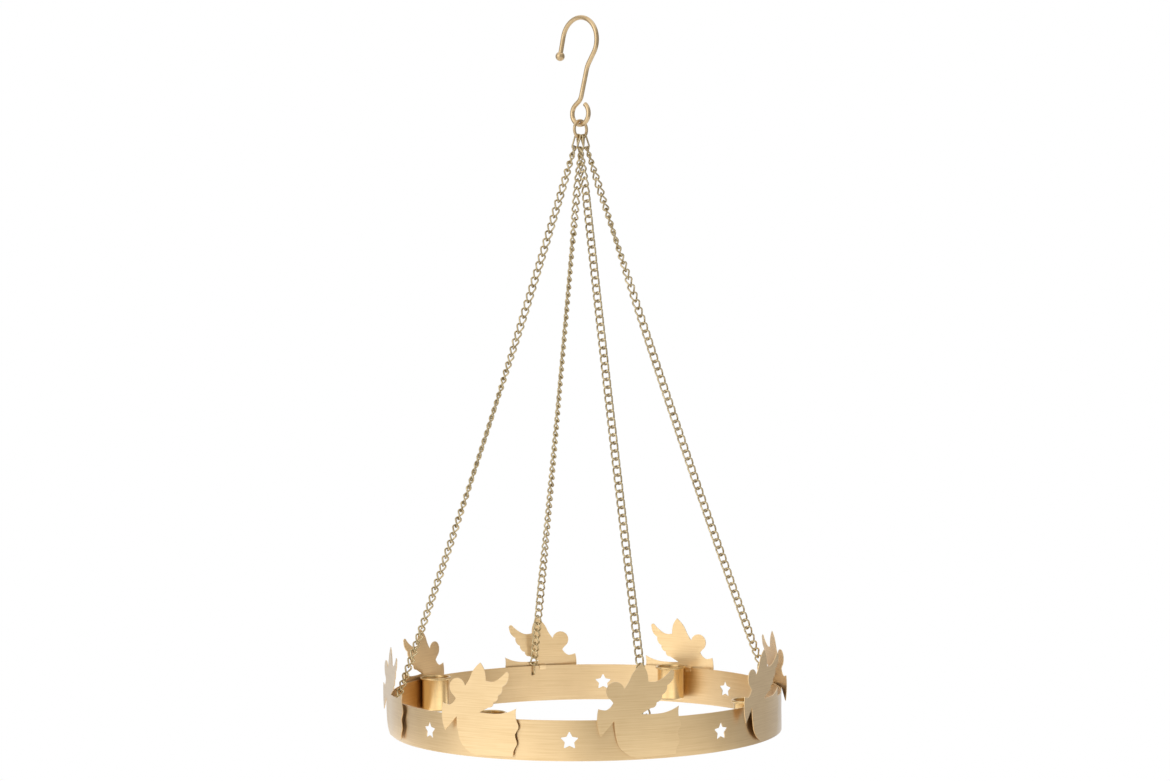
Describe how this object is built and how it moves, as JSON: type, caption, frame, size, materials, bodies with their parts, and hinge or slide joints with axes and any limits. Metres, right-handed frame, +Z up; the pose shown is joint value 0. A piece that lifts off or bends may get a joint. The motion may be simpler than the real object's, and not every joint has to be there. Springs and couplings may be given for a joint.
{
  "type": "hanging advent candle holder",
  "caption": "Hanging advent candle ring: a brass band with cut-out stars, flying angel plates and candle cups, carried by chains from a wire hook.",
  "frame": {"origin": "the point inside the top of the hook's bow that bears on what the object hangs from", "axes": "+Z up along the line that the object hangs on; +X in the plane of the hook, away from its open side"},
  "size_m": [0.3422, 0.3422, 0.6019],
  "materials": {
    "brushed_brass": "brushed along the strip, satin lacquer",
    "drawn_brass": "drawn, satin lacquer",
    "chain_brass": "satin brass wire",
    "hook_brass": "satin brass wire"
  },
  "bodies": {
    "hook": {"hook": "hook_brass", "hook_ball": "hook_brass"},
    "top_ring": {"top_ring": "hook_brass"},
    "crown": {"band": "brushed_brass", "angel_1": "brushed_brass", "angel_2": "brushed_brass", "angel_3": "brushed_brass", "angel_4": "brushed_brass", "angel_5": "brushed_brass", "angel_6": "brushed_brass", "angel_7": "brushed_brass", "angel_8": "brushed_brass", "clip_1": "brushed_brass", "clip_2": "brushed_brass", "clip_3": "brushed_brass", "clip_4": "brushed_brass", "clip_5": "brushed_brass", "clip_6": "brushed_brass", "clip_7": "brushed_brass", "clip_8": "brushed_brass", "candle_cup_1": "drawn_brass", "candle_cup_2": "drawn_brass", "candle_cup_3": "drawn_brass", "candle_cup_4": "drawn_brass", "end_link_1": "chain_brass", "end_link_2": "chain_brass", "end_link_3": "chain_brass", "end_link_4": "chain_brass"},
    "chain_1": {"chain_1": "chain_brass", "head_link_1": "chain_brass"},
    "chain_2": {"chain_2": "chain_brass", "head_link_2": "chain_brass"},
    "chain_3": {"chain_3": "chain_brass", "head_link_3": "chain_brass"},
    "chain_4": {"chain_4": "chain_brass", "head_link_4": "chain_brass"}
  },
  "joints": [
    {"name": "ring_swing", "type": "hinge", "parent": "hook", "child": "top_ring", "pos_m": [0, 0, -0.088], "axis": [1, 0, 0], "range_deg": [-60, 60]},
    {"name": "crown_swing", "type": "hinge", "parent": "top_ring", "child": "crown", "pos_m": [0, 0, -0.09942], "axis": [0, 1, 0], "range_deg": [-40, 40]},
    {"name": "chain_1_swing", "type": "hinge", "parent": "top_ring", "child": "chain_1", "pos_m": [0, 0, -0.09942], "axis": [0, 1, 0], "range_deg": [-40, 40]},
    {"name": "chain_2_swing", "type": "hinge", "parent": "top_ring", "child": "chain_2", "pos_m": [0, 0, -0.09942], "axis": [0, 1, 0], "range_deg": [-40, 40]},
    {"name": "chain_3_swing", "type": "hinge", "parent": "top_ring", "child": "chain_3", "pos_m": [0, 0, -0.09942], "axis": [0, 1, 0], "range_deg": [-40, 40]},
    {"name": "chain_4_swing", "type": "hinge", "parent": "top_ring", "child": "chain_4", "pos_m": [0, 0, -0.09942], "axis": [0, 1, 0], "range_deg": [-40, 40]}
  ],
  "couplings": [
    {"joint": "chain_1_swing", "follows": "crown_swing", "ratio": 1},
    {"joint": "chain_2_swing", "follows": "crown_swing", "ratio": 1},
    {"joint": "chain_3_swing", "follows": "crown_swing", "ratio": 1},
    {"joint": "chain_4_swing", "follows": "crown_swing", "ratio": 1}
  ]
}
